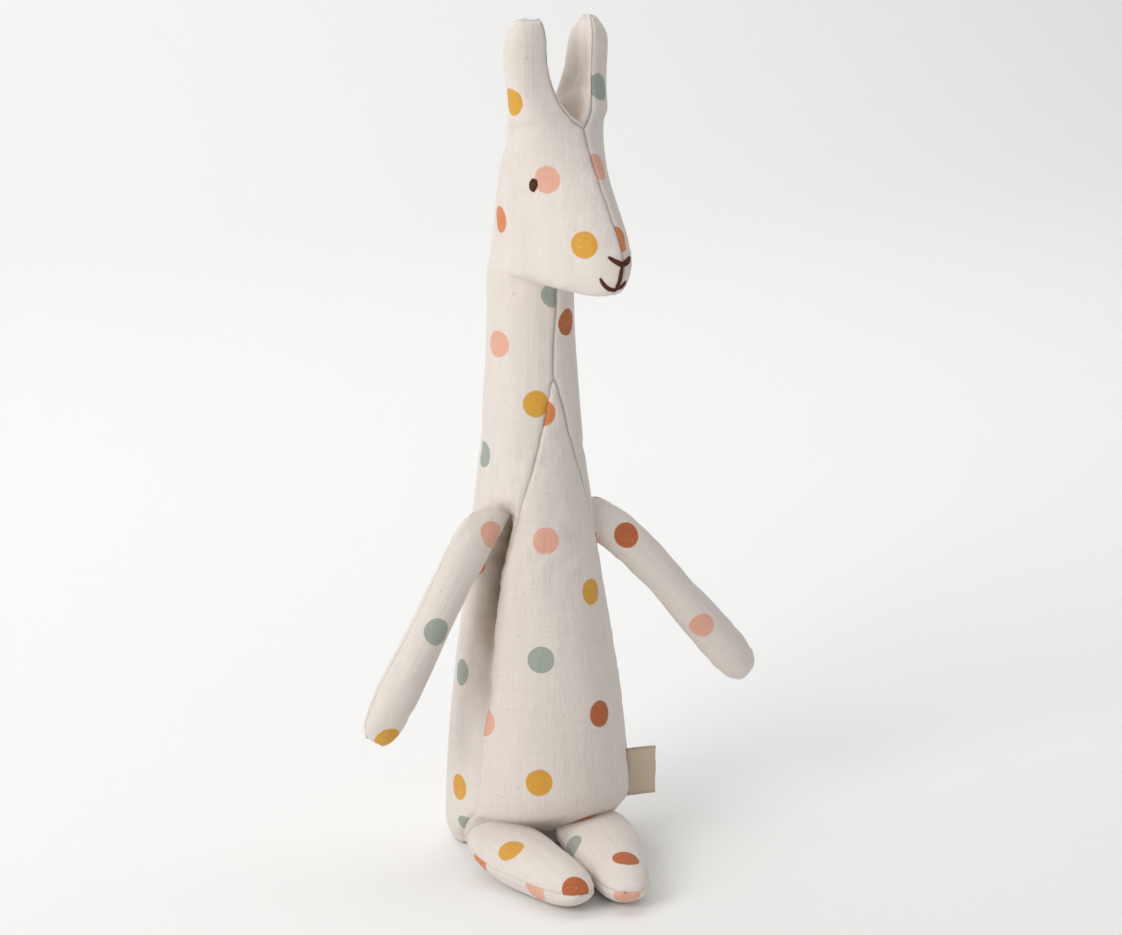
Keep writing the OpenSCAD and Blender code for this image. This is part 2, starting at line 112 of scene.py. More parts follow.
# %% Pale floor that sweeps up at the back
FRONT, BEND, RADIUS, TOP, SIDE = -3.0, 1.2, 0.8, 3.0, 4.0
sweep = [(FRONT, 0), (BEND, 0)]
for t in np.linspace(0.1, math.pi / 2, 14):
    sweep.append((BEND + RADIUS * math.sin(t), RADIUS - RADIUS * math.cos(t)))
sweep.append((BEND + RADIUS, TOP))
floor_mesh = bpy.data.meshes.new("floor")
floor_points = [(x, y, z) for y, z in sweep for x in (-SIDE, SIDE)]
floor_faces = [(2 * i, 2 * i + 1, 2 * i + 3, 2 * i + 2) for i in range(len(sweep) - 1)]
floor_mesh.from_pydata(floor_points, [], floor_faces)
floor_mesh.shade_smooth()
floor = put(bpy.data.objects.new("floor", floor_mesh))
paper = bpy.data.materials.new("pale_paper")
paper.use_nodes = True
paper_shader = paper.node_tree.nodes["Principled BSDF"]
paper_shader.inputs["Base Color"].default_value = (0.93, 0.93, 0.925, 1)
paper_shader.inputs["Roughness"].default_value = 0.9
floor_mesh.materials.append(paper)
print("floor faces:", len(floor_faces))


# %% Two soft lamps
def soft_lamp(name, place, size, power, colour, target=middle):
    """A square area lamp, in metres and watts, that looks at a point, as a rule the middle of the toy."""
    lamp = bpy.data.lights.new(name, "AREA")
    lamp.size = size
    lamp.energy = power
    lamp.color = colour
    obj = put(bpy.data.objects.new(name, lamp))
    obj.location = place
    obj.rotation_euler = (Vector(target) - Vector(place)).to_track_quat("-Z", "Y").to_euler()
    return obj


soft_lamp("window_left", place=(-1.18, -0.6, 0.78), size=0.8, power=10.3, colour=(1, 0.99, 0.975))
soft_lamp("backdrop", place=(0, 0.7, 1.7), size=2.2, power=19, colour=(1, 1, 1), target=(0, 2.0, 0.4))
world = bpy.data.worlds.new("pale_room")
world.use_nodes = True
world.node_tree.nodes["Background"].inputs["Color"].default_value = (1, 0.995, 0.985, 1)
world.node_tree.nodes["Background"].inputs["Strength"].default_value = 0.42
scene.world = world
scene.view_settings.view_transform = "Standard"

# %% [markdown]
# ## The skin of the body, neck and head
#
# On the real toy five panels make the trunk: two sides, a pointed belly panel, the lining of the
# ears and a round seat. Each packed panel is a thin solid with an outside, an inside and rims.
# Walking over edges that bend only a little stays on one of these sheets, so the outside can be
# picked out, and the outsides of all panels, welded where they meet, are the sewn skin.


# %% Find the sheets of a panel
TOUCHING = 0.001 * MM
SHARP_BEND = 0.9


def welded(name):
    """A panel's mesh with its doubled corners joined."""
    bm = bmesh.new()
    bm.from_mesh(frame["nodes"][name].data)
    bmesh.ops.remove_doubles(bm, verts=bm.verts, dist=TOUCHING)
    bm.faces.ensure_lookup_table()
    bm.normal_update()
    return bm


def sheets(bm):
    """Groups of faces that meet at less than a sharp bend, in radians, the largest group first."""
    seen = set()
    groups = []
    for first in bm.faces:
        if first.index in seen:
            continue
        seen.add(first.index)
        group = [first]
        for face in group:
            for other in (f for e in face.edges for f in e.link_faces):
                if other.index not in seen and face.normal.angle(other.normal) < SHARP_BEND:
                    seen.add(other.index)
                    group.append(other)
        groups.append(group)
    return sorted(groups, key=lambda g: -sum(f.calc_area() for f in g))


def near_share(group, tree):
    """Share of a sheet's corners that lie on points held by a search tree."""
    corners = {v for f in group for v in f.verts}
    return sum(tree.find(v.co)[2] < TOUCHING for v in corners) / len(corners)


# %% Sew the outsides together
def search_tree(points):
    """A tree that finds the nearest of some points."""
    tree = KDTree(len(points))
    for i, p in enumerate(points):
        tree.insert(p, i)
    tree.balance()
    return tree


def sewn(panels, guided=()):
    """One closed skin from the panels' outsides; every face keeps the number of its panel."""
    skin = bmesh.new()
    number = skin.faces.layers.int.new("panel")
    for i, panel in enumerate(panels):
        bm = welded(panel)
        found = sheets(bm)[:2]
        if panel in guided:
            tree = search_tree([v.co.copy() for v in skin.verts])
            found.sort(key=lambda g: -near_share(g, tree))
        made = {}
        for face in sorted(found[0], key=lambda f: f.index):
            for v in face.verts:
                if v.index not in made:
                    made[v.index] = skin.verts.new(v.co)
            skin.faces.new([made[v.index] for v in face.verts])[number] = i
        bm.free()
    bmesh.ops.remove_doubles(skin, verts=skin.verts, dist=3 * TOUCHING)
    bmesh.ops.recalc_face_normals(skin, faces=skin.faces)
    return skin, number


# %% Make the triangles four-sided
def longest(face):
    """The longest edge of a face, which in half of a square is its diagonal."""
    return max(face.edges, key=lambda e: e.calc_length())


def squared(skin, number):
    """Joins pairs of triangles of one panel, because four-sided faces smooth better."""
    diagonals = []
    for edge in skin.edges:
        a, b = edge.link_faces[0], edge.link_faces[-1]
        edge.seam = a[number] != b[number]
        if a != b and not edge.seam and longest(a) == edge and longest(b) == edge:
            diagonals.append(edge)
    bmesh.ops.dissolve_edges(skin, edges=diagonals, use_verts=False)
    threes = [f for f in skin.faces if len(f.verts) == 3]
    bmesh.ops.join_triangles(
        skin, faces=threes, cmp_seam=True, angle_face_threshold=1.0, angle_shape_threshold=3.0)


def as_object(name, skin):
    """Makes an object from a skin and reports how it closed."""
    open_edges = sum(len(e.link_faces) != 2 for e in skin.edges)
    threes = sum(len(f.verts) == 3 for f in skin.faces)
    mesh = bpy.data.meshes.new(name)
    skin.to_mesh(mesh)
    skin.free()
    print(name, "faces:", len(mesh.polygons), "triangles:", threes, "open edges:", open_edges)
    return put(bpy.data.objects.new(name, mesh))


TRUNK = ("right_side_panel", "left_side_panel", "belly_panel", "crown_gusset", "seat_panel")
RIGHT, LEFT, BELLY, LINING, SEAT = range(5)
trunk_skin, trunk_number = sewn(TRUNK, guided=("crown_gusset", "seat_panel"))

# %% [markdown]
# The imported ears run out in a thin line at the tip. A stuffed ear ends blunt, so the pinched last
# row is taken off and the opening is closed with a narrow strip from the outside to the lining.


# %% Blunt tips for the ears
def blunt_tip(skin, number, side):
    """Closes the open end of one ear, point by point from the front seam to the back seam."""
    rim = {v for e in skin.edges if len(e.link_faces) == 1 for v in e.verts}
    outer = [v for v in rim if any(f[number] == side for f in v.link_faces)]
    ends = [v for v in outer if any(f[number] == LINING for f in v.link_faces)]
    front, back = sorted(ends, key=lambda v: v.co.y)
    along = (back.co - front.co).normalized()
    inner = [v for v in rim if v not in outer and (v.co - front.co).length < 9 * MM]
    outer.sort(key=lambda v: along.dot(v.co))
    inner.sort(key=lambda v: along.dot(v.co))
    inner = [outer[0]] + inner + [outer[-1]]
    for i in range(len(outer) - 1):
        corners = dict.fromkeys((outer[i], outer[i + 1], inner[i + 1], inner[i]))
        skin.faces.new(list(corners))[number] = LINING
    return len(outer)


ear_top = max(v.co.z for v in trunk_skin.verts)
pinched = [f for f in trunk_skin.faces if max(v.co.z for v in f.verts) > ear_top - 0.2 * MM]
bmesh.ops.delete(trunk_skin, geom=pinched, context="FACES")
tip_counts = [blunt_tip(trunk_skin, trunk_number, side) for side in (RIGHT, LEFT)]
bmesh.ops.recalc_face_normals(trunk_skin, faces=trunk_skin.faces)
squared(trunk_skin, trunk_number)
trunk = as_object("stuffed_trunk", trunk_skin)
print("points across each ear's tip:", tip_counts)

# %% [markdown]
# ## Stuffing
#
# A stuffed skin is tight between its seams and held back along them. The skin is smoothed first.
# Then Blender's Cloth presses it out from inside while the seams are pinned, and a cap keeps every
# point close to the pattern, so the toy stays the size it was cut to. The simulation works best on
# things about as large as a person, so the skin is enlarged for it and shrunk back afterwards.


# %% Read and write the points of a mesh
def places(mesh):
    """The points of a mesh as an array."""
    flat = np.empty(3 * len(mesh.vertices), np.float32)
    mesh.vertices.foreach_get("co", flat)
    return flat.reshape(-1, 3).astype(float)


def moved_to(mesh, points):
    """Writes an array of points into a mesh."""
    mesh.vertices.foreach_set("co", points.astype(np.float32).ravel())
    mesh.update()


def outwards(mesh):
    """The direction out of the skin at each point."""
    flat = np.empty(3 * len(mesh.vertices), np.float32)
    mesh.vertex_normals.foreach_get("vector", flat)
    return flat.reshape(-1, 3).astype(float)


def panel_numbers(mesh):
    """The number of each face's panel."""
    flat = np.empty(len(mesh.polygons), np.int32)
    mesh.attributes["panel"].data.foreach_get("value", flat)
    return flat


# %% Find the seams
def seams(mesh):
    """Edges where two panels meet, and the higher number of those two panels."""
    counts = np.empty(len(mesh.polygons), np.int32)
    mesh.polygons.foreach_get("loop_total", counts)
    edge_of = np.empty(len(mesh.loops), np.int32)
    mesh.loops.foreach_get("edge_index", edge_of)
    ends = np.empty(2 * len(mesh.edges), np.int32)
    mesh.edges.foreach_get("vertices", ends)
    panel = np.repeat(panel_numbers(mesh), counts)
    low = np.full(len(mesh.edges), 99)
    high = np.full(len(mesh.edges), -1)
    np.minimum.at(low, edge_of, panel)
    np.maximum.at(high, edge_of, panel)
    held = low != high
    return ends.reshape(-1, 2)[held], high[held]


print("seam edges on the trunk:", len(seams(trunk.data)[0]))


# %% Smooth a skin
def settled(obj):
    """Writes what the modifiers show into the mesh and takes them off."""
    depsgraph = bpy.context.evaluated_depsgraph_get()
    mesh = bpy.data.meshes.new_from_object(
        obj.evaluated_get(depsgraph), preserve_all_data_layers=True, depsgraph=depsgraph)
    obj.modifiers.clear()
    before = obj.data
    obj.data = mesh
    bpy.data.meshes.remove(before)


def rounded(obj, levels, fit=0):
    """Splits each face in four and smooths; fit pushes the points out so that no size is lost."""
    finer = obj.modifiers.new("rounded", "SUBSURF")
    finer.levels = levels
    finer.render_levels = levels
    wanted = places(obj.data)
    for _ in range(fit):
        shown = obj.evaluated_get(bpy.context.evaluated_depsgraph_get())
        short = wanted - places(shown.data)[:len(wanted)]
        moved_to(obj.data, places(obj.data) + np.clip(short, -0.8 * MM, 0.8 * MM))
    settled(obj)


rounded(trunk, 2, fit=3)
print("smoothed trunk faces:", len(trunk.data.polygons))

# %% Press the cloth out between the seams
LARGER = 10
FRAMES = 20


def stuffed(obj, pressure, slack, cap, pinned=()):
    """Swells a skin between its seams; no point moves further than the cap."""
    mesh = obj.data
    start = places(mesh)
    sewn_down = set(seams(mesh)[0].ravel().tolist())
    for face in mesh.polygons:
        if mesh.attributes["panel"].data[face.index].value in pinned:
            sewn_down.update(face.vertices)
    pins = obj.vertex_groups.new(name="sewn")
    pins.add(sorted(sewn_down), 1.0, "REPLACE")
    moved_to(mesh, LARGER * start)
    cloth = obj.modifiers.new("filling", "CLOTH")
    cloth.settings.quality = 5
    cloth.settings.mass = 0.3
    cloth.settings.use_pressure = True
    cloth.settings.uniform_pressure_force = pressure
    cloth.settings.shrink_min = -slack
    cloth.settings.shrink_max = -slack
    cloth.settings.vertex_group_mass = pins.name
    cloth.settings.effector_weights.gravity = 0
    cloth.collision_settings.use_collision = False
    cloth.point_cache.frame_end = FRAMES
    for number in range(1, FRAMES + 1):
        scene.frame_set(number)
    shown = obj.evaluated_get(bpy.context.evaluated_depsgraph_get())
    swollen = places(shown.data) / LARGER
    obj.modifiers.clear()
    scene.frame_set(1)
    step = swollen - start
    length = np.linalg.norm(step, axis=1)
    step *= np.minimum(1, cap / np.maximum(length, 1e-9))[:, None]
    moved_to(mesh, start + step)
    obj.vertex_groups.remove(pins)
    print(obj.name, "swelled by up to", round(1000 * float(length.max()), 2), "mm before the cap")


stuffed(trunk, pressure=4, slack=0.004, cap=0.9 * MM, pinned=(SEAT,))
rounded(trunk, 1)
print("trunk faces:", len(trunk.data.polygons))

# %% [markdown]
# ## Arms and legs
#
# An arm or a leg is two panels sewn edge to edge, so the same steps make it: pick the outsides,
# weld them, smooth, stuff. Its root is then drawn on to the trunk, because on the toy it is sewn
# there, and the sole is pressed flat where it lies on the floor.

# %% Sew and stuff the limbs
LIMBS = {
    "right_arm": ("right_arm_front", "right_arm_back"),
    "left_arm": ("left_arm_front", "left_arm_back"),
    "right_leg": ("right_leg_top", "right_leg_sole"),
    "left_leg": ("left_leg_top", "left_leg_sole"),
}
limbs = {}
for limb, panels in LIMBS.items():
    skin, number = sewn(panels)
    loose = [e for e in skin.edges if len(e.link_faces) == 1]
    bmesh.ops.holes_fill(skin, edges=loose, sides=0)
    bmesh.ops.recalc_face_normals(skin, faces=skin.faces)
    squared(skin, number)
    limbs[limb] = as_object("stuffed_" + limb, skin)
    rounded(limbs[limb], 2, fit=3)
    stuffed(limbs[limb], pressure=5, slack=0.004, cap=0.7 * MM)
    rounded(limbs[limb], 1)


# %% Directions of a limb
def hinge_of(body):
    """The place of the joint that carries a body."""
    return next(Vector(j["pos_m"]) for j in frame["joints"] if j["child"] == body)


def own_directions(points, hinge):
    """Directions across, through and along a limb; the last one points from the hinge to the tip."""
    along, across, through = np.linalg.svd(points - points.mean(0), full_matrices=False)[2]
    along = along * np.sign(along @ (points.mean(0) - np.array(hinge)))
    across = across * np.sign(across @ (-1, 0, 1))
    through = through * np.sign(through @ (0, -1, 1))
    return np.array([across, through, along])


for limb, obj in limbs.items():
    points = places(obj.data)
    reach = (points - np.array(hinge_of(limb))) @ own_directions(points, hinge_of(limb))[2]
    print(limb, "faces:", len(obj.data.polygons), "tip in mm:", round(1000 * reach.max(), 1))


# %% [markdown]
# ## Seams
#
# A seam pulls the cloth in: there is a narrow groove along it, and small puckers run out from it at
# right angles. Noise that is read at the nearest point of the seam, instead of at the point itself,
# gives just such puckers, because it stays the same on a line that leaves the seam squarely.


# %% Distance from the seams
def nearest_on(points, targets):
    """For each point the nearest of the targets, and its distance."""
    tree = search_tree([Vector(p) for p in targets])
    found = [tree.find(p) for p in points]
    return np.array([f[0] for f in found]), np.array([f[2] for f in found])


def keep(mesh, name, values, domain="POINT"):
    """Stores a number, or a place, for every point or corner of a mesh."""
    kind = "FLOAT" if values.ndim == 1 else "FLOAT_VECTOR"
    made = mesh.attributes.new(name, kind, domain)
    made.data.foreach_set("value" if kind == "FLOAT" else "vector", values.astype(np.float32).ravel())


def noise_at(points, size):
    """Smooth noise from -1 to 1 with lumps of a given size."""
    return np.array([noise.noise(Vector(p / size)) for p in points])


# %% Draw the seams in
def draw_in(obj, depth, width, pucker, reach, faint):
    """Presses a groove along every seam and lets puckers run out from it; faint hides the painted seam shade.
    """
    mesh = obj.data
    points = places(mesh)
    ends = seams(mesh)[0]
    near, away = nearest_on(points, points[np.unique(ends)])
    ripple = 0.65 * noise_at(near, 2.6 * MM) + 0.35 * noise_at(near + 1, 1.3 * MM)
    step = pucker * ripple * np.exp(-away / reach)
    step -= depth * np.exp(-(away / width) ** 2)
    step += 0.16 * MM * noise_at(points, 14 * MM)
    moved_to(mesh, points + step[:, None] * outwards(mesh))
    keep(mesh, "seam_away", away + 0.45 * MM * faint)
    print(obj.name, "seam points:", len(np.unique(ends)), "deepest:", round(1000 * step.min(), 2), "mm")


# %% [markdown]
# The fold, the dots and the face are placed by pixels, which were read from the photograph. A few
# dots are shifted a little, where the toy's outline here is not quite the photograph's. The camera above
# stands where the photograph's did, so the line of sight through a pixel is known, and the place is
# where it passes the near side of the skin.

# %% Find the place at a pixel of the photograph
PHOTO_WIDE, PHOTO_HIGH = 1122, 935
OUT_OF_VIEW = 1


def line_of_sight(x, y):
    """The direction from the camera through a pixel."""
    right = (x - PHOTO_WIDE / 2) / PHOTO_WIDE + lens.shift_x
    up = (PHOTO_HIGH / 2 - y) / PHOTO_WIDE + lens.shift_y
    ahead = lens.lens / lens.sensor_width
    return np.array((camera.rotation_quaternion @ Vector((right, up, -ahead))).normalized())


def seen_at(obj, x, y, own=slice(None)):
    """The place on a pixel's line of sight beside the nearest point in view; own picks from the points."""
    sight = line_of_sight(x, y)
    steps = places(obj.data) - np.array(camera.location)
    ahead = steps @ sight
    aside = np.linalg.norm(steps - ahead[:, None] * sight, axis=1)
    aside[outwards(obj.data) @ sight > 0] = OUT_OF_VIEW
    return np.array(camera.location) + ahead[own][np.argmin(aside[own])] * sight


def panel_points(mesh, panel):
    """The points of one panel."""
    faces = np.flatnonzero(panel_numbers(mesh) == panel)
    return np.unique(np.concatenate([mesh.polygons[i].vertices[:] for i in faces]))


# %% [markdown]
# Under the near arm the cloth is slack and tucks in between the side and the belly. The fold is deepest
# just under the arm. Each point also keeps how deep in the fold it lies, because the material paints
# shade there, tinted warm.


# %% A deep fold under the near arm
def smooth_step(low, high, values):
    """0 below low, 1 above high, and a soft rise between."""
    t = np.clip((values - low) / (high - low), 0, 1)
    return t * t * (3 - 2 * t)


def resampled(route, count):
    """Evenly spaced points on a smooth line through given points."""
    route = np.array(route)
    steps = np.linalg.norm(np.diff(route, axis=0), axis=1)
    at = np.concatenate([[0], np.cumsum(steps)]) / steps.sum()
    wanted = np.linspace(0, 1, count)
    line = np.stack([np.interp(wanted, at, route[:, i]) for i in range(3)], 1)
    for _ in range(3):
        line[1:-1] = 0.25 * line[:-2] + 0.5 * line[1:-1] + 0.25 * line[2:]
    return line


def fold(obj, route, depth, width):
    """Presses a narrow fold into the skin along a route of pixels, shallow at both ends; keeps its painted
    shade.
    """
    mesh = obj.data
    points = places(mesh)
    line = nearest_on(resampled([seen_at(obj, x, y) for x, y in route], 160), points)[0]
    tree = search_tree([Vector(p) for p in line])
    found = [tree.find(p) for p in points]
    away = np.array([f[2] for f in found])
    at = np.array([f[1] for f in found]) / (len(line) - 1)
    share = smooth_step(0, 0.12, at) * (1 - 0.5 * smooth_step(0.4, 0.75, at))
    share *= 1 - smooth_step(0.75, 1, at)
    step = depth * share * np.exp(-(away / width) ** 1.4)
    moved_to(mesh, points - step[:, None] * outwards(mesh))
    # Painted shade: how strongly the material darkens the cloth in the fold.
    keep(mesh, "painted_crease_shade", share * np.exp(-(away / (1.25 * width)) ** 2))
    return round(1000 * float(step.max()), 2)


NEAR_FOLD = [(512, 500), (501, 526), (490, 562), (484, 610), (482, 670), (482, 738)]
print("fold in mm:", fold(trunk, NEAR_FOLD, depth=7.5 * MM, width=3 * MM))

# %% [markdown]
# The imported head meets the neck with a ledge. On the toy the cloth runs over it without a step, so the
# skin is evened out there, and the lining of the ears is pressed in to make them hollow.

# %% Even out the jaw and hollow the ears
JAW = 181 * MM
crown_low, crown_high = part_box("crown_gusset")
EAR_FOOT = round(crown_low.z, 3)
EAR_TIP = round(crown_high.z, 3)


def soften(obj, share, times):
    """Moves points towards the middle of their neighbours, as much as share says."""
    mesh = obj.data
    points = places(mesh)
    ends = np.empty(2 * len(mesh.edges), np.int32)
    mesh.edges.foreach_get("vertices", ends)
    first, second = ends.reshape(-1, 2).T
    count = np.bincount(ends, minlength=len(points))[:, None]
    for _ in range(times):
        total = np.zeros_like(points)
        np.add.at(total, first, points[second])
        np.add.at(total, second, points[first])
        points += 0.5 * share[:, None] * (total / count - points)
    moved_to(mesh, points)


def hollow(obj, depth):
    """Presses the lining of the ears in, most of all near the crown, and paints shade at its foot."""
    mesh = obj.data
    points = places(mesh)
    ends, high = seams(mesh)
    lining = panel_points(mesh, LINING)
    away = nearest_on(points[lining], points[np.unique(ends[high == LINING])])[1]
    height = points[lining, 2]
    share = smooth_step(EAR_FOOT + 1 * MM, EAR_FOOT + 12 * MM, height)
    share *= 1 - 0.7 * smooth_step(EAR_TIP - 17 * MM, EAR_TIP - 1 * MM, height)
    step = depth * share * smooth_step(0.2 * MM, 3.5 * MM, away)
    points[lining] -= step[:, None] * outwards(mesh)[lining]
    moved_to(mesh, points)
    # Painted shade at the foot of the lining, strongest near the crown.
    painted_crease_shade = mesh.attributes["painted_crease_shade"].data
    shade = 1 - smooth_step(EAR_FOOT + 6 * MM, EAR_FOOT + 21 * MM, height)
    shade *= smooth_step(0, 3 * MM, away)
    for i, value in zip(lining.tolist(), shade.tolist()):
        painted_crease_shade[i].value = 0.85 * value
    return round(1000 * float(step.max()), 2)


trunk_points = places(trunk.data)
jaw = np.exp(-((trunk_points[:, 2] - JAW) / (7 * MM)) ** 2)
jaw *= smooth_step(-13 * MM, -3 * MM, trunk_points[:, 1])
soften(trunk, jaw, times=70)
print("ears hollowed in mm:", hollow(trunk, depth=4 * MM))

# %% Draw in every seam
FAINT_BELOW, CLEAR_ABOVE = 92 * MM, 122 * MM
low_down = 1 - smooth_step(FAINT_BELOW, CLEAR_ABOVE, places(trunk.data)[:, 2])
draw_in(trunk, depth=0.5 * MM, width=0.75 * MM, pucker=0.3 * MM, reach=5 * MM, faint=0.8 * low_down)
for limb, obj in limbs.items():
    points = places(obj.data)
    along = (points - np.array(hinge_of(limb))) @ own_directions(points, hinge_of(limb))[2]
    faint = np.maximum(1 - smooth_step(2 * MM, 10 * MM, along), 0.6 if "leg" in limb else 0.3)
    draw_in(obj, depth=0.35 * MM, width=0.65 * MM, pucker=0.24 * MM, reach=3.5 * MM, faint=faint)


# %% [markdown]
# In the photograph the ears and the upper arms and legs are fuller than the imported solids. So they are
# widened a little, within the thickness that cloth may stand proud.


# %% Plump the ears and the upper limbs
def plump_ears(obj, wider, tapers):
    """Widens each ear about its own middle, fading out towards the crown, and rounds its tip."""
    points = places(obj.data)
    height = points[:, 2]
    tips = points[height > EAR_TIP - 13 * MM]
    halfway = (tips[:, 0].min() + tips[:, 0].max()) / 2
    for sign, taper in zip((-1, 1), tapers):
        mine = sign * (points[:, 0] - halfway) > 0
        centre = tips[sign * (tips[:, 0] - halfway) > 0].mean(0)[:2]
        share = wider * smooth_step(EAR_FOOT + 2 * MM, EAR_FOOT + 24 * MM, height)
        share -= taper * smooth_step(EAR_TIP - 10 * MM, EAR_TIP, height) ** 2
        points[mine, :2] += share[mine, None] * (points[mine, :2] - centre)
    moved_to(obj.data, points)


def plump_limb(obj, body, wider):
    """Widens the upper part of a limb."""
    points = places(obj.data)
    hinge = np.array(hinge_of(body))
    directions = own_directions(points, hinge)
    local = (points - hinge) @ directions.T
    local[:, 0] *= 1 + wider * (1 - smooth_step(2 * MM, 34 * MM, local[:, 2]))
    moved_to(obj.data, hinge + local @ directions)


plump_ears(trunk, wider=0.2, tapers=(0.22, 0.6))
PLUMP = {"right_arm": 0.22, "left_arm": 0.15, "right_leg": 0.04, "left_leg": 0.04}
for limb, wider in PLUMP.items():
    plump_limb(limbs[limb], limb, wider)
print("plumped pieces:", 1 + len(PLUMP))


# %% Sew the limbs to the trunk and set them on the floor
FLOOR_GAP = 0.1 * MM


def sew_on(obj, body, bend, stretch, tuck, slant):
    """Bends, stretches and slants the root of a limb, and tucks its end into the trunk."""
    points = places(obj.data)
    hinge = np.array(hinge_of(body))
    across, _, direction = own_directions(points, hinge)
    along = (points - hinge) @ direction
    slanted = slant * (1 - smooth_step(-6 * MM, 20 * MM, along))
    points += (slanted * ((points - hinge) @ across))[:, None] * direction
    tree = BVHTree.FromObject(trunk, bpy.context.evaluated_depsgraph_get())
    inwards = -np.array(tree.find_nearest(Vector(hinge))[1])
    root = (1 - smooth_step(-6 * MM, 26 * MM, along))[:, None]
    end = (1 - smooth_step(-6 * MM, 7 * MM, along))[:, None]
    points += bend * root * inwards + end * (tuck * inwards - stretch * direction)
    points[:, 2] = np.maximum(points[:, 2], FLOOR_GAP)
    moved_to(obj.data, points)


SEWING_MM = {"right_arm": (2, 0, 2), "left_arm": (2.2, 3, 3.5), "right_leg": (2, 0, 2), "left_leg": (2, 0, 2)}
SLANT = {"right_arm": 0.65}
for limb, (bend, stretch, tuck) in SEWING_MM.items():
    sew_on(limbs[limb], limb, bend * MM, stretch * MM, tuck * MM, SLANT.get(limb, 0))
trunk_points = places(trunk.data)
trunk_points[:, 2] = np.maximum(trunk_points[:, 2], FLOOR_GAP)
moved_to(trunk.data, trunk_points)
print("lowest point in mm:", round(1000 * float(trunk_points[:, 2].min()), 2))

# %% [markdown]
# ## Printed dots
#
# The muslin was printed before it was cut, so a dot ends at a seam and the next panel goes on with
# its own. The print could be drawn with image textures, but a dot is only a distance: each corner
# of each face keeps how far it is from the nearest dot of its own panel, and which ink that dot
# has. The material turns the distance into a sharp round edge. The dots seen in the photograph
# have given pixels, beyond the edge of the panel where a seam cuts most of a dot away. The far sides
# are strewn at about the same spacing, away from the camera.

# %% Places of the dots that show
INKS = ("pink", "mustard", "rust", "orange", "sage")
TRUNK_DOTS = [
    ("mustard", RIGHT, 512, 102), ("orange", RIGHT, 500, 219), ("pink", RIGHT, 547, 180),
    ("mustard", RIGHT, 584, 245), ("pink", LEFT, 597, 167), ("orange", LEFT, 617, 240),
    ("sage", LEFT, 599, 87), ("pink", RIGHT, 498, 344), ("sage", RIGHT, 553, 294),
    ("rust", LEFT, 567, 322), ("mustard", RIGHT, 536, 404), ("orange", BELLY, 542, 413),
    ("sage", RIGHT, 485, 454), ("pink", BELLY, 546, 541), ("sage", BELLY, 541, 660),
    ("mustard", BELLY, 539, 783), ("rust", BELLY, 600, 714), ("mustard", BELLY, 591, 592),
    ("orange", LEFT, 595, 545), ("pink", BELLY, 486, 723), ("sage", RIGHT, 462, 672),
    ("mustard", RIGHT, 459, 787), ("sage", RIGHT, 470, 824), ("orange", BELLY, 584, 820),
    ("orange", RIGHT, 474, 563), ("pink", LEFT, 612, 658),
]
LIMB_DOTS = {
    "right_arm": [("pink", 0, 492, 534), ("sage", 0, 437, 632), ("mustard", 0, 388, 740)],
    "left_arm": [("rust", 0, 627, 535), ("pink", 0, 702, 626)],
    "right_leg": [
        ("mustard", 0, 511, 850), ("orange", 1, 479, 862), ("pink", 1, 535, 891), ("rust", 0, 576, 889),
    ],
    "left_leg": [("sage", 0, 572, 847), ("rust", 0, 626, 858), ("pink", 1, 627, 898)],
}
print("dots in view:", len(TRUNK_DOTS) + sum(map(len, LIMB_DOTS.values())))


# %% Lay the dots on the cloth
FAR_SIDE = -0.6


def dots_on(obj, shown, rng, apart, clear=0, plain=()):
    """Places of all dots, panel by panel: those that show, then strewn ones on the far side."""
    points = places(obj.data)
    facing = outwards(obj.data) @ np.array(towards_camera)
    seam_away = np.empty(len(points), np.float32)
    obj.data.attributes["seam_away"].data.foreach_get("value", seam_away)
    hidden = (facing < FAR_SIDE) & (seam_away > clear)
    laid = {}
    for panel in sorted(set(panel_numbers(obj.data).tolist())):
        own = panel_points(obj.data, panel)
        mine = [dot for dot in shown if dot[1] == panel]
        found = [(seen_at(obj, x, y, own), INKS.index(ink)) for ink, _, x, y in mine]
        strewn = () if panel in plain else rng.permutation(own[hidden[own]])
        for i in strewn:
            gaps = [np.linalg.norm(points[i] - spot) for spot, ink in found]
            if not gaps or min(gaps) > apart:
                taken = found[int(np.argmin(gaps))][1] if gaps else 0
                found.append((points[i], (taken + int(rng.integers(1, len(INKS)))) % len(INKS)))
        laid[panel] = found
    return laid


def print_dots(obj, laid):
    """Stores for every corner the distance to the nearest dot of its panel, and that dot's ink."""
    mesh = obj.data
    counts = np.empty(len(mesh.polygons), np.int32)
    mesh.polygons.foreach_get("loop_total", counts)
    corner = np.empty(len(mesh.loops), np.int32)
    mesh.loops.foreach_get("vertex_index", corner)
    points = places(mesh)[corner]
    panel = np.repeat(panel_numbers(mesh), counts)
    away = np.full(len(corner), 1.0)
    ink = np.zeros(len(corner))
    for number, found in laid.items():
        mine = np.flatnonzero(panel == number)
        for spot, colour in found:
            distance = np.linalg.norm(points[mine] - spot, axis=1)
            nearer = distance < away[mine]
            away[mine[nearer]] = distance[nearer]
            ink[mine[nearer]] = colour
    keep(mesh, "dot_away", away, "CORNER")
    keep(mesh, "dot_ink", (ink + 0.5) / len(INKS), "CORNER")
    return sum(map(len, laid.values()))


rng = np.random.default_rng(7)
trunk_dots = dots_on(trunk, TRUNK_DOTS, rng, apart=23 * MM, plain=(LINING,))
print("dots on the trunk:", print_dots(trunk, trunk_dots))
for limb, obj in limbs.items():
    limb_dots = dots_on(obj, LIMB_DOTS[limb], rng, apart=20 * MM, clear=5 * MM)
    print("dots on", limb, print_dots(obj, limb_dots))

# %% [markdown]
# The threads of the cloth run up the trunk and along each limb. Every point keeps its place in the
# directions of its own panel, so that one material can draw threads on all of them, and so that
# the threads stay with the cloth when a limb moves.

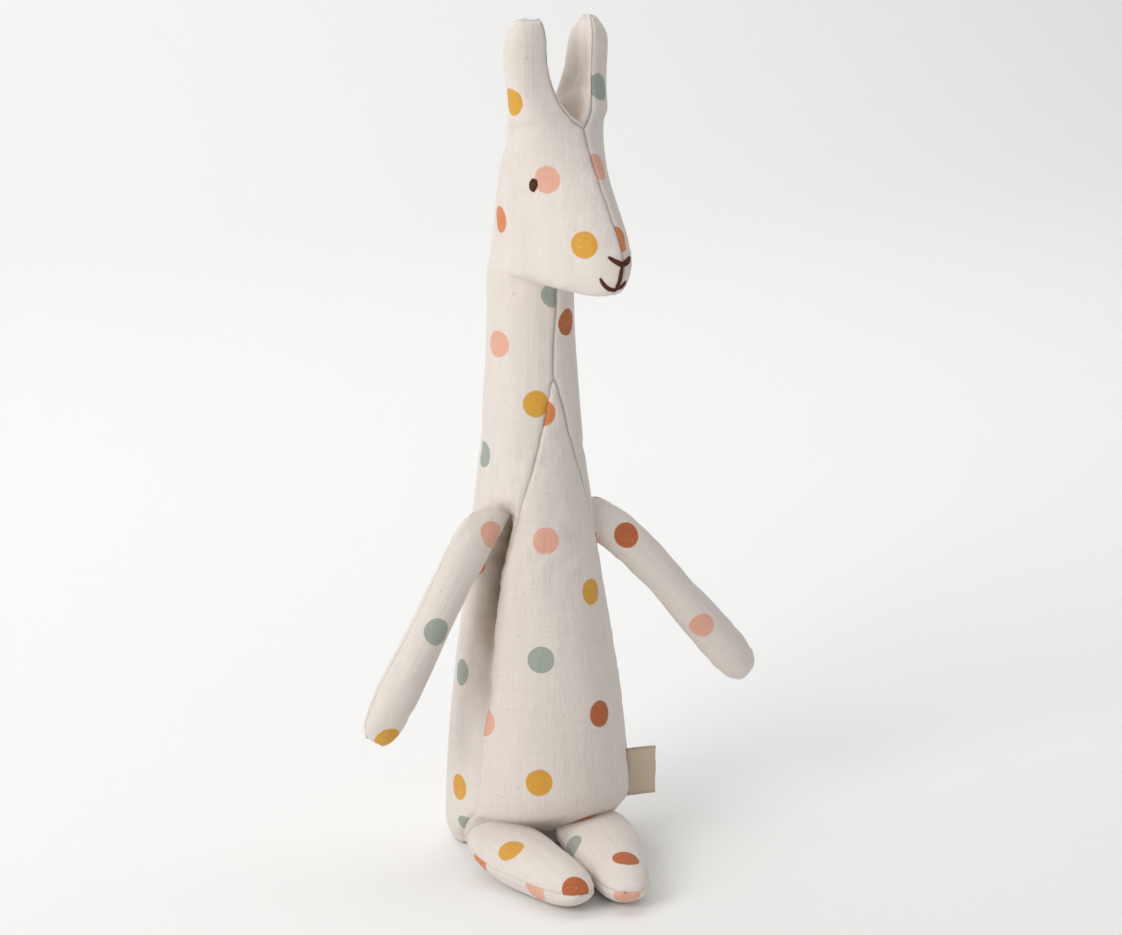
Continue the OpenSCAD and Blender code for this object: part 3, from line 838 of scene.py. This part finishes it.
# %% Keep each point's place along the threads
keep(trunk.data, "thread_place", places(trunk.data))
for limb, obj in limbs.items():
    points = places(obj.data)
    keep(obj.data, "thread_place", points @ own_directions(points, hinge_of(limb)).T)
print("pieces with thread places:", 1 + len(limbs))

# %% [markdown]
# ## Finishes
#
# Three woven things are on the toy: the printed muslin, the ribbon of the label and the stitching
# thread. The muslin and the ribbon share one effect, the crossing threads of a plain weave with
# thick places in them, so that is a node group with its own inputs, placed in both materials.


# %% Helpers for node trees
def new_group(name, inputs, outputs):
    """An empty shader group with named sockets."""
    group = bpy.data.node_groups.new(name, "ShaderNodeTree")
    for title, kind, value in inputs:
        socket = group.interface.new_socket(title, in_out="INPUT", socket_type=kind)
        if value is not None:
            socket.default_value = value
    for title, kind in outputs:
        group.interface.new_socket(title, in_out="OUTPUT", socket_type=kind)
    return group, group.nodes.new("NodeGroupInput"), group.nodes.new("NodeGroupOutput")


def add(tree, kind, values=None, **settings):
    """A node with its settings and the values or links of its inputs."""
    node = tree.nodes.new(kind)
    for title, value in settings.items():
        setattr(node, title, value)
    for title, value in (values or {}).items():
        if isinstance(value, bpy.types.NodeSocket):
            tree.links.new(value, node.inputs[title])
        else:
            node.inputs[title].default_value = value
    return node


def sums(tree, operation, a, b):
    """One step of arithmetic on two values."""
    return add(tree, "ShaderNodeMath", {0: a, 1: b}, operation=operation).outputs[0]


def attribute(tree, name, output="Fac"):
    """A number, or a place, that the points or corners of a mesh keep."""
    return add(tree, "ShaderNodeAttribute", attribute_name=name).outputs[output]


def ranged(tree, value, low, high, first, last):
    """A value that runs from first to last while another runs from low to high."""
    values = {"Value": value, "From Min": low, "From Max": high, "To Min": first, "To Max": last}
    return add(tree, "ShaderNodeMapRange", values).outputs["Result"]


def grain(tree, place, scale, detail):
    """Plain noise at a place."""
    return add(tree, "ShaderNodeTexNoise", {"Vector": place, "Scale": scale, "Detail": detail}).outputs["Fac"]


def mixed(tree, share, first, second):
    """Two colours mixed, with a share of the second."""
    return add(tree, "ShaderNodeMix", {0: share, 6: first, 7: second}, data_type="RGBA").outputs[2]


def dimmed(tree, colour, strength):
    """A colour made darker or lighter."""
    return add(tree, "ShaderNodeVectorMath", {0: colour, "Scale": strength}, operation="SCALE").outputs[0]


# %% Threads of a plain weave
def stretched_noise(tree, place, stretch, scale, detail):
    """Noise drawn out along some directions."""
    drawn = add(tree, "ShaderNodeVectorMath", {0: place, 1: stretch}, operation="MULTIPLY").outputs[0]
    values = {"Vector": drawn, "Scale": scale, "Detail": detail, "Roughness": 0.55}
    return add(tree, "ShaderNodeTexNoise", values).outputs["Fac"]


weave, weave_in, weave_out = new_group(
    "woven_threads",
    [("Place", "NodeSocketVector", None), ("Threads", "NodeSocketFloat", 1500.0),
     ("Slub", "NodeSocketFloat", 1.0)],
    [("Height", "NodeSocketFloat"), ("Shade", "NodeSocketFloat")])
weave_place = weave_in.outputs["Place"]
up_threads = stretched_noise(weave, weave_place, (1, 1, 0.07), weave_in.outputs["Threads"], 1.0)
cross_threads = stretched_noise(weave, weave_place, (0.09, 0.09, 1), weave_in.outputs["Threads"], 1.0)
slubs = stretched_noise(weave, weave_place, (1, 1, 0.045), 420.0, 2.0)
crinkles = stretched_noise(weave, weave_place, (1, 1, 0.16), 150.0, 3.0)
fine = sums(weave, "ADD", up_threads, sums(weave, "MULTIPLY", cross_threads, 0.8))
broad = sums(weave, "ADD", slubs, sums(weave, "MULTIPLY", crinkles, 1.3))
broad = sums(weave, "MULTIPLY", broad, weave_in.outputs["Slub"])
height = sums(weave, "ADD", sums(weave, "MULTIPLY", fine, 0.4), sums(weave, "MULTIPLY", broad, 0.9))
weave.links.new(height, weave_out.inputs["Height"])
tone = sums(weave, "ADD", sums(weave, "MULTIPLY", fine, 0.35), sums(weave, "MULTIPLY", broad, 0.3))
weave.links.new(ranged(weave, tone, 0.35, 0.95, 0.87, 1.04), weave_out.inputs["Shade"])
print("weave group nodes:", len(weave.nodes))

# %% [markdown]
# The print is a group as well. Its edge is not quite round, because the cloth moves under the
# printing screen, and the thread crossings that the ink missed show as pale specks.

# %% Printed dots
INK_COLOURS = {
    "pink": (0.80, 0.43, 0.32), "mustard": (0.72, 0.37, 0.055), "rust": (0.50, 0.14, 0.045),
    "orange": (0.72, 0.245, 0.085), "sage": (0.37, 0.41, 0.355),
}
EDGE = 0.12 * MM
dots, dots_in, dots_out = new_group(
    "printed_dots",
    [("Place", "NodeSocketVector", None), ("Radius", "NodeSocketFloat", 4.1 * MM),
     ("Wander", "NodeSocketFloat", 0.5 * MM)],
    [("Mask", "NodeSocketFloat"), ("Ink", "NodeSocketColor")])
dot_place = dots_in.outputs["Place"]
slow = sums(dots, "SUBTRACT", grain(dots, dot_place, 210.0, 1.0), 0.5)
ragged = sums(dots, "ADD", slow, sums(dots, "MULTIPLY", grain(dots, dot_place, 1900.0, 2.0), 0.35))
wandering = sums(dots, "MULTIPLY", ragged, dots_in.outputs["Wander"])
edge = sums(dots, "ADD", attribute(dots, "dot_away"), wandering)
inner = sums(dots, "SUBTRACT", dots_in.outputs["Radius"], EDGE)
outer = sums(dots, "ADD", dots_in.outputs["Radius"], EDGE)
disc = ranged(dots, edge, inner, outer, 1.0, 0.0)
covered = ranged(dots, grain(dots, dot_place, 1300.0, 3.0), 0.64, 0.74, 1.0, 0.55)
dots.links.new(sums(dots, "MULTIPLY", disc, covered), dots_out.inputs["Mask"])
palette = add(dots, "ShaderNodeValToRGB", {"Fac": attribute(dots, "dot_ink")})
palette.color_ramp.interpolation = "CONSTANT"
for i, ink in enumerate(INKS):
    stop = palette.color_ramp.elements[i] if i < 2 else palette.color_ramp.elements.new(i / len(INKS))
    stop.position = i / len(INKS)
    stop.color = (*INK_COLOURS[ink], 1)
dots.links.new(palette.outputs["Color"], dots_out.inputs["Ink"])
print("inks:", ", ".join(INKS))

# %% [markdown]
# The muslin itself: undyed cotton with the weave's light and dark threads, the dots printed over
# it, and a thin dark line in the groove of each seam, where the cloth turns in and light is lost.
# The deep fold under the near arm and the foot of the ears' lining get painted shade for the same reason,
# with a warm tint for the light the cloth throws back inside the fold.

# %% Printed muslin
muslin = bpy.data.materials.new("printed_muslin")
muslin.use_nodes = True
tree = muslin.node_tree
cotton = tree.nodes["Principled BSDF"]
thread_place = attribute(tree, "thread_place", "Vector")
woven = add(tree, "ShaderNodeGroup", node_tree=weave)
tree.links.new(thread_place, woven.inputs["Place"])
printed = add(tree, "ShaderNodeGroup", node_tree=dots)
tree.links.new(thread_place, printed.inputs["Place"])
undyed = mixed(tree, grain(tree, thread_place, 45.0, 3.0), (0.80, 0.735, 0.685, 1), (0.77, 0.70, 0.645, 1))
coloured = mixed(tree, printed.outputs["Mask"], undyed, printed.outputs["Ink"])
fleck = add(tree, "ShaderNodeTexVoronoi", {"Vector": thread_place, "Scale": 210.0})
seed = ranged(tree, fleck.outputs["Distance"], 0.045, 0.08, 0.78, 1.0)
# Painted shade: a thin dark line in the groove of each seam, where light is lost.
groove = ranged(tree, attribute(tree, "seam_away"), 0.08 * MM, 0.5 * MM, 0.55, 1.0)
tone_and_seam_shade = sums(tree, "MULTIPLY", woven.outputs["Shade"], groove)
tone_and_seam_shade = sums(tree, "MULTIPLY", tone_and_seam_shade, seed)
# Painted shade in the fold and at the foot of the ears' lining, with a warm tint for light thrown back.
crease_shade_tint = mixed(tree, attribute(tree, "painted_crease_shade"), (1, 1, 1, 1), (0.52, 0.44, 0.37, 1))
folded = add(tree, "ShaderNodeVectorMath", {0: coloured, 1: crease_shade_tint}, operation="MULTIPLY").outputs[0]
tree.links.new(dimmed(tree, folded, tone_and_seam_shade), cotton.inputs["Base Color"])
tree.links.new(ranged(tree, woven.outputs["Height"], 0.0, 1.6, 0.98, 0.8), cotton.inputs["Roughness"])
relief_values = {"Strength": 0.7, "Distance": 0.34 * MM, "Height": woven.outputs["Height"]}
tree.links.new(add(tree, "ShaderNodeBump", relief_values).outputs["Normal"], cotton.inputs["Normal"])
cotton.inputs["Sheen Weight"].default_value = 0.12
cotton.inputs["Specular IOR Level"].default_value = 0.25
for obj in (trunk, *limbs.values()):
    obj.data.materials.clear()
    obj.data.materials.append(muslin)
    obj.data.shade_smooth()
print("muslin nodes:", len(tree.nodes))

# %% [markdown]
# ## Face
#
# The eyes, nose and mouth are embroidered with dark brown thread. Each line is several strands laid
# side by side, and an eye is filled with strands of different lengths. The strands are curves with
# a round section, and their points are set on the finished skin, so they lie on it everywhere.


# %% Lay a strand on the skin
skin_tree = BVHTree.FromObject(trunk, bpy.context.evaluated_depsgraph_get())


def on_skin(point, lift):
    """The nearest place on the trunk, raised by lift, with the direction out of the skin."""
    spot, normal, face, gap = skin_tree.find_nearest(point)
    return spot + lift * normal, normal


def strand_curve(name, runs, radius):
    """One curve object of many strands."""
    curve = bpy.data.curves.new(name, "CURVE")
    curve.dimensions = "3D"
    curve.bevel_depth = radius
    curve.bevel_resolution = 2
    curve.use_fill_caps = True
    for run in runs:
        spline = curve.splines.new("POLY")
        spline.points.add(len(run) - 1)
        for point, (place, thick) in zip(spline.points, run):
            point.co = (*place, 1)
            point.radius = thick
    return put(bpy.data.objects.new(name, curve))


def stitched_line(name, route, strands, spread, radius):
    """A row of strands along a route of pixels, a little crossed, thinner at both ends."""
    line = resampled([seen_at(trunk, x, y) for x, y in route], 24)
    runs = []
    for k in range(strands):
        offset = (k - (strands - 1) / 2) * spread
        run = []
        for i, p in enumerate(line):
            before, after = line[max(0, i - 1)], line[min(len(line) - 1, i + 1)]
            spot, normal = on_skin(Vector(p), 0)
            side = Vector(after - before).normalized().cross(normal)
            t = i / (len(line) - 1)
            bow = math.sin(math.pi * t) ** 0.4
            sway = 0.25 * spread * math.sin(5 * t + 2.1 * k)
            lift = radius * (0.55 + 0.35 * bow * (k % 2))
            place = on_skin(spot + (offset * bow + sway) * side, lift)[0]
            run.append((place, 0.65 + 0.35 * bow))
        runs.append(run)
    return strand_curve(name, runs, radius)


NOSE = [(608, 257), (614, 261), (622, 265), (627, 262), (630, 257)]
LIP = [(622, 265), (621, 273), (619, 281), (616, 288)]
MOUTH = [(600, 278), (604, 285), (609, 289), (616, 290), (622, 287), (626, 281)]
STRAND = 0.21 * MM
nose = stitched_line("nose_thread", NOSE, strands=6, spread=0.27 * MM, radius=STRAND)
lip = stitched_line("lip_thread", LIP, strands=5, spread=0.26 * MM, radius=STRAND)
mouth = stitched_line("mouth_thread", MOUTH, strands=5, spread=0.27 * MM, radius=STRAND)
print("strands on the face:", sum(len(o.data.splines) for o in (nose, lip, mouth)))


# %% Satin stitch for an eye
def satin_eye(name, place, leaning, half_w, half_h):
    """Strands side by side over a small oval, each as long as the oval is there."""
    centre, normal = on_skin(Vector(place), 0)
    up = Vector(leaning).normalized()
    up = (up - up.dot(normal) * normal).normalized()
    across = up.cross(normal)
    runs = []
    count = 11
    for k in range(count):
        u = -1 + 2 * (k + 0.5) / count
        reach = half_h * math.sqrt(1 - u * u) * (1 + 0.06 * math.sin(7.3 * k))
        run = []
        for i in range(9):
            v = -1 + i / 4
            spot = centre + u * half_w * across + v * reach * up
            dome = 0.42 * MM * math.sqrt(max(0.0, 1 - v * v)) * math.sqrt(1 - 0.7 * u * u)
            run.append((on_skin(spot, dome)[0], 1.0))
        runs.append(run)
    return strand_curve(name, runs, 1.15 * half_w / count)


RIGHT_EYE = (534, 185)
EYE_HALF = (1.4 * MM, 2.0 * MM)
right_eye = satin_eye("right_eye_thread", seen_at(trunk, *RIGHT_EYE), (0.2, -0.3, 1), *EYE_HALF)
left_low, left_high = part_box("left_eye")
left_eye = satin_eye("left_eye_thread", (left_low + left_high) / 2, (0, -0.3, 1), *EYE_HALF)
print("strands in the eyes:", len(right_eye.data.splines) + len(left_eye.data.splines))

# %% Brown stitching thread
brown = bpy.data.materials.new("brown_thread")
brown.use_nodes = True
tree = brown.node_tree
floss = tree.nodes["Principled BSDF"]
spot_place = add(tree, "ShaderNodeTexCoord").outputs["Object"]
twist_values = {"Vector": spot_place, "Scale": 900.0, "Distortion": 3.0, "Detail": 1.0}
twist = add(tree, "ShaderNodeTexWave", twist_values, bands_direction="DIAGONAL")
tint = mixed(tree, grain(tree, spot_place, 700.0, 2.0), (0.05, 0.012, 0.006, 1), (0.15, 0.042, 0.02, 1))
tree.links.new(tint, floss.inputs["Base Color"])
ply = add(tree, "ShaderNodeBump", {"Strength": 0.4, "Distance": 0.06 * MM, "Height": twist.outputs["Fac"]})
tree.links.new(ply.outputs["Normal"], floss.inputs["Normal"])
floss.inputs["Roughness"].default_value = 0.62
floss.inputs["Specular IOR Level"].default_value = 0.25
STITCHES = {
    nose: "nose_stitch", lip: "lip_stitch", mouth: "mouth_stitch",
    right_eye: "right_eye", left_eye: "left_eye",
}
for obj, node in STITCHES.items():
    obj.data.materials.append(brown)
    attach(obj, "trunk")
    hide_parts(node)
print("stitched pieces:", len(STITCHES))

# %% [markdown]
# ## Label
#
# A short piece of cotton ribbon is folded in two and caught in the left seam of the belly. It is
# bare. Its two layers part a little towards the fold, so the section is a slim loop, and the free
# edges at the top and bottom are a thicker selvage.

# %% Folded ribbon
label_low, label_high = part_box("side_label")
label_root = (label_low + label_high) / 2
label_root.x = label_low.x - 1.6 * MM
ribbon_h = label_high.z - label_low.z
ribbon_w = label_high.x - label_root.x - 0.3 * MM
ROUND, TALL = 40, 30


def ribbon_point(i, j):
    """A point of the ribbon: i runs round the fold and j runs up."""
    s = 2 * i / ROUND - 1
    v = j / TALL
    out = ribbon_w * (1 - abs(s) ** 3.2)
    parted = math.sin(math.pi * min(1, 1.3 * (1 - abs(s)) + 0.12)) ** 0.5
    gap = 0.34 * MM * math.copysign(abs(s) ** 0.5, s) * parted
    wave = 0.45 * MM * math.sin(2.6 * v + 0.6) * (out / ribbon_w) ** 1.5
    droop = -0.25 * MM * (out / ribbon_w) ** 2
    return label_root + Vector((out - 0.12 * MM * math.sin(9 * v), gap + wave, (v - 0.5) * ribbon_h + droop))


ribbon_mesh = bpy.data.meshes.new("label_ribbon")
ribbon_points = [ribbon_point(i, j) for i in range(ROUND + 1) for j in range(TALL + 1)]
ribbon_faces = []
for i in range(ROUND):
    for j in range(TALL):
        a = i * (TALL + 1) + j
        ribbon_faces.append((a, a + 1, a + TALL + 2, a + TALL + 1))
ribbon_mesh.from_pydata(ribbon_points, [], ribbon_faces)
ribbon = put(bpy.data.objects.new("side_ribbon", ribbon_mesh))
thick = ribbon.modifiers.new("cloth", "SOLIDIFY")
thick.thickness = 0.3 * MM
thick.offset = 0
settled(ribbon)
ribbon.data.shade_smooth()
ribbon_share = np.abs(places(ribbon.data)[:, 2] - label_root.z) / (ribbon_h / 2)
keep(ribbon.data, "selvage", ribbon_share)
keep(ribbon.data, "thread_place", places(ribbon.data))
print("ribbon stands out by", round(1000 * ribbon_w, 1), "mm")

# %% Cotton ribbon
tape = bpy.data.materials.new("cotton_ribbon")
tape.use_nodes = True
tree = tape.node_tree
herring = tree.nodes["Principled BSDF"]
tape_woven = add(tree, "ShaderNodeGroup", node_tree=weave)
tree.links.new(attribute(tree, "thread_place", "Vector"), tape_woven.inputs["Place"])
tape_woven.inputs["Threads"].default_value = 2300.0
tape_woven.inputs["Slub"].default_value = 0.5
bound = ranged(tree, attribute(tree, "selvage"), 0.88, 0.93, 0.0, 1.0)
beige = mixed(tree, bound, (0.66, 0.54, 0.41, 1), (0.58, 0.46, 0.34, 1))
tree.links.new(dimmed(tree, beige, tape_woven.outputs["Shade"]), herring.inputs["Base Color"])
raised = sums(tree, "ADD", tape_woven.outputs["Height"], sums(tree, "MULTIPLY", bound, 0.8))
tape_bump = add(tree, "ShaderNodeBump", {"Strength": 0.5, "Distance": 0.15 * MM, "Height": raised})
tree.links.new(tape_bump.outputs["Normal"], herring.inputs["Normal"])
herring.inputs["Roughness"].default_value = 0.85
herring.inputs["Sheen Weight"].default_value = 0.1
ribbon.data.materials.append(tape)
print("ribbon nodes:", len(tree.nodes))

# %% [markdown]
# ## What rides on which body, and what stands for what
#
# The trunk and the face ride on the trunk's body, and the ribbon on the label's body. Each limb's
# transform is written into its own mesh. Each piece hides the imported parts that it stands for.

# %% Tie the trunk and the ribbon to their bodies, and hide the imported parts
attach(trunk, "trunk")
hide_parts(*TRUNK, "body_filling", "head_filling", "right_ear_filling", "left_ear_filling")
for limb, obj in limbs.items():
    hinge = hinge_of(limb)
    points = places(obj.data)
    along = Vector(own_directions(points, hinge)[2])
    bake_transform(obj)
    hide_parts(*LIMBS[limb], limb + "_filling")
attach(ribbon, "label")
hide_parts("side_label")
